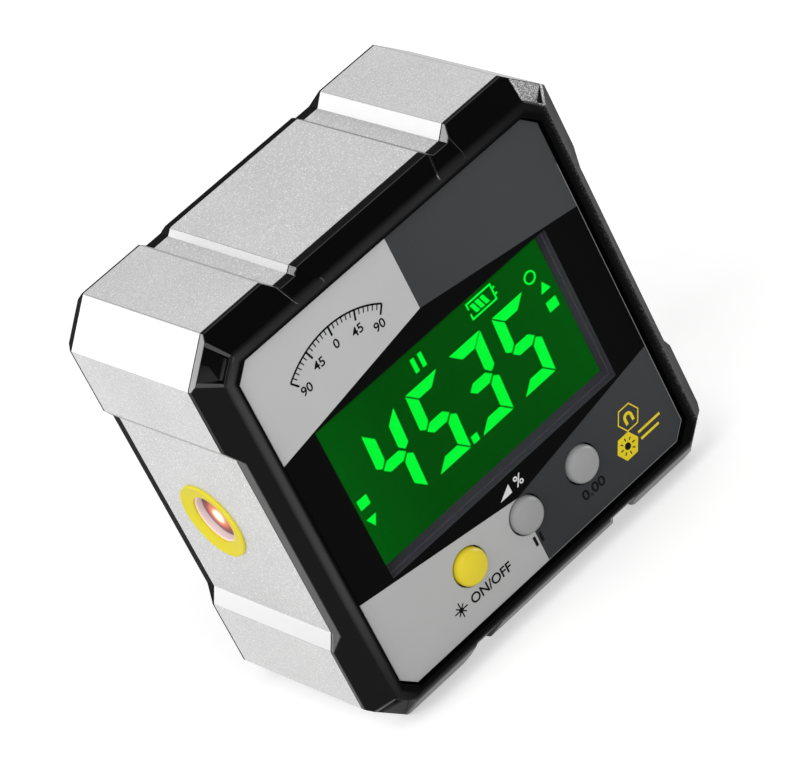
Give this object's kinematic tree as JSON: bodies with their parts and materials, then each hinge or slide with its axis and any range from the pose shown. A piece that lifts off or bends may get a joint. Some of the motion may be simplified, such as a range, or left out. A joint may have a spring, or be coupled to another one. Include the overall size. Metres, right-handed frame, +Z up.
{
  "type": "digital inclinometer",
  "caption": "Square pocket inclinometer: aluminium measuring frame with a laser at each side, black covers, lit display and push buttons.",
  "frame": {"origin": "under the middle of the whole object, caps included, on the lower measuring pads", "axes": "+X to the right of the display, +Y from the display to the rear cover, +Z up"},
  "size_m": [0.06, 0.0326, 0.06],
  "materials": {
    "frame_aluminium": "bead-blasted, clear anodised",
    "cover_plastic": "moulded, fine grain",
    "label_print": "printed sheet in grays and black",
    "window_clear": "clear acrylic",
    "display_lit": "green lit liquid crystal display",
    "light_guide": "milky acrylic",
    "lamp": "lamp resin",
    "contact_rubber": "layered silicone",
    "holder_plastic": "moulded",
    "button_yellow": "satin",
    "button_gray": "satin",
    "board_green": "solder mask",
    "chip_black": "moulded resin",
    "plug_ivory": "moulded",
    "chassis_plastic": "moulded",
    "foam_pad": "closed-cell foam",
    "battery_foil": "laminated foil",
    "lead_red": "wire insulation",
    "lead_black": "wire insulation",
    "lead_blue": "wire insulation",
    "switch_steel": "pressed sheet",
    "socket_steel": "nickel plated",
    "screw_steel": "zinc plated",
    "magnet_nickel": "nickel plated",
    "laser_metal": "turned, bright",
    "laser_lens": "red lit lens",
    "diode_brass": "turned",
    "ring_yellow": "moulded"
  },
  "bodies": {
    "gauge": {"aluminium_frame": "frame_aluminium", "backlight_guide": "light_guide", "backlight_led": "lamp", "battery": "battery_foil", "battery_lead_black": "lead_black", "battery_lead_red": "lead_red", "battery_pad": "foam_pad", "battery_plug": "plug_ivory", "battery_socket": "plug_ivory", "board_screw_left": "screw_steel", "board_screw_right": "screw_steel", "charger_chip": "chip_black", "charging_board": "board_green", "charging_lead": "lead_blue", "cover_screw_lower_left": "screw_steel", "cover_screw_lower_right": "screw_steel", "cover_screw_upper_left": "screw_steel", "cover_screw_upper_right": "screw_steel", "display_window": "window_clear", "front_cover": "cover_plastic", "hold_switch": "switch_steel", "inner_chassis": "chassis_plastic", "label_panel": "label_print", "laser_diode_left": "diode_brass", "laser_diode_right": "diode_brass", "laser_lead_left": "lead_red", "laser_lead_right": "lead_red", "laser_lens_left": "laser_lens", "laser_lens_right": "laser_lens", "laser_module_left": "laser_metal", "laser_module_right": "laser_metal", "laser_ring_left": "ring_yellow", "laser_ring_right": "ring_yellow", "lcd_glass": "display_lit", "lcd_holder": "holder_plastic", "magnet_bottom_left": "magnet_nickel", "magnet_bottom_right": "magnet_nickel", "magnet_left_lower": "magnet_nickel", "magnet_left_upper": "magnet_nickel", "magnet_right_lower": "magnet_nickel", "magnet_right_upper": "magnet_nickel", "magnet_top_left": "magnet_nickel", "magnet_top_right": "magnet_nickel", "main_board": "board_green", "microcontroller": "chip_black", "power_switch": "switch_steel", "rear_cover": "cover_plastic", "tilt_sensor": "chip_black", "usb_shell": "socket_steel", "usb_tongue": "chip_black", "zebra_strip": "contact_rubber", "zero_switch": "switch_steel"},
    "power_key": {"power_button": "button_yellow", "power_stem": "chip_black"},
    "hold_key": {"hold_button": "button_gray", "hold_stem": "chip_black"},
    "zero_key": {"zero_button": "button_gray", "zero_stem": "chip_black"}
  },
  "joints": [
    {"name": "power_press", "type": "slide", "parent": "gauge", "child": "power_key", "axis": [0, 1, 0], "range_m": [0, 0.0004], "stiffness_N_per_m": 400, "springref_m": -0.001},
    {"name": "hold_press", "type": "slide", "parent": "gauge", "child": "hold_key", "axis": [0, 1, 0], "range_m": [0, 0.0004], "stiffness_N_per_m": 400, "springref_m": -0.001},
    {"name": "zero_press", "type": "slide", "parent": "gauge", "child": "zero_key", "axis": [0, 1, 0], "range_m": [0, 0.0004], "stiffness_N_per_m": 400, "springref_m": -0.001}
  ]
}
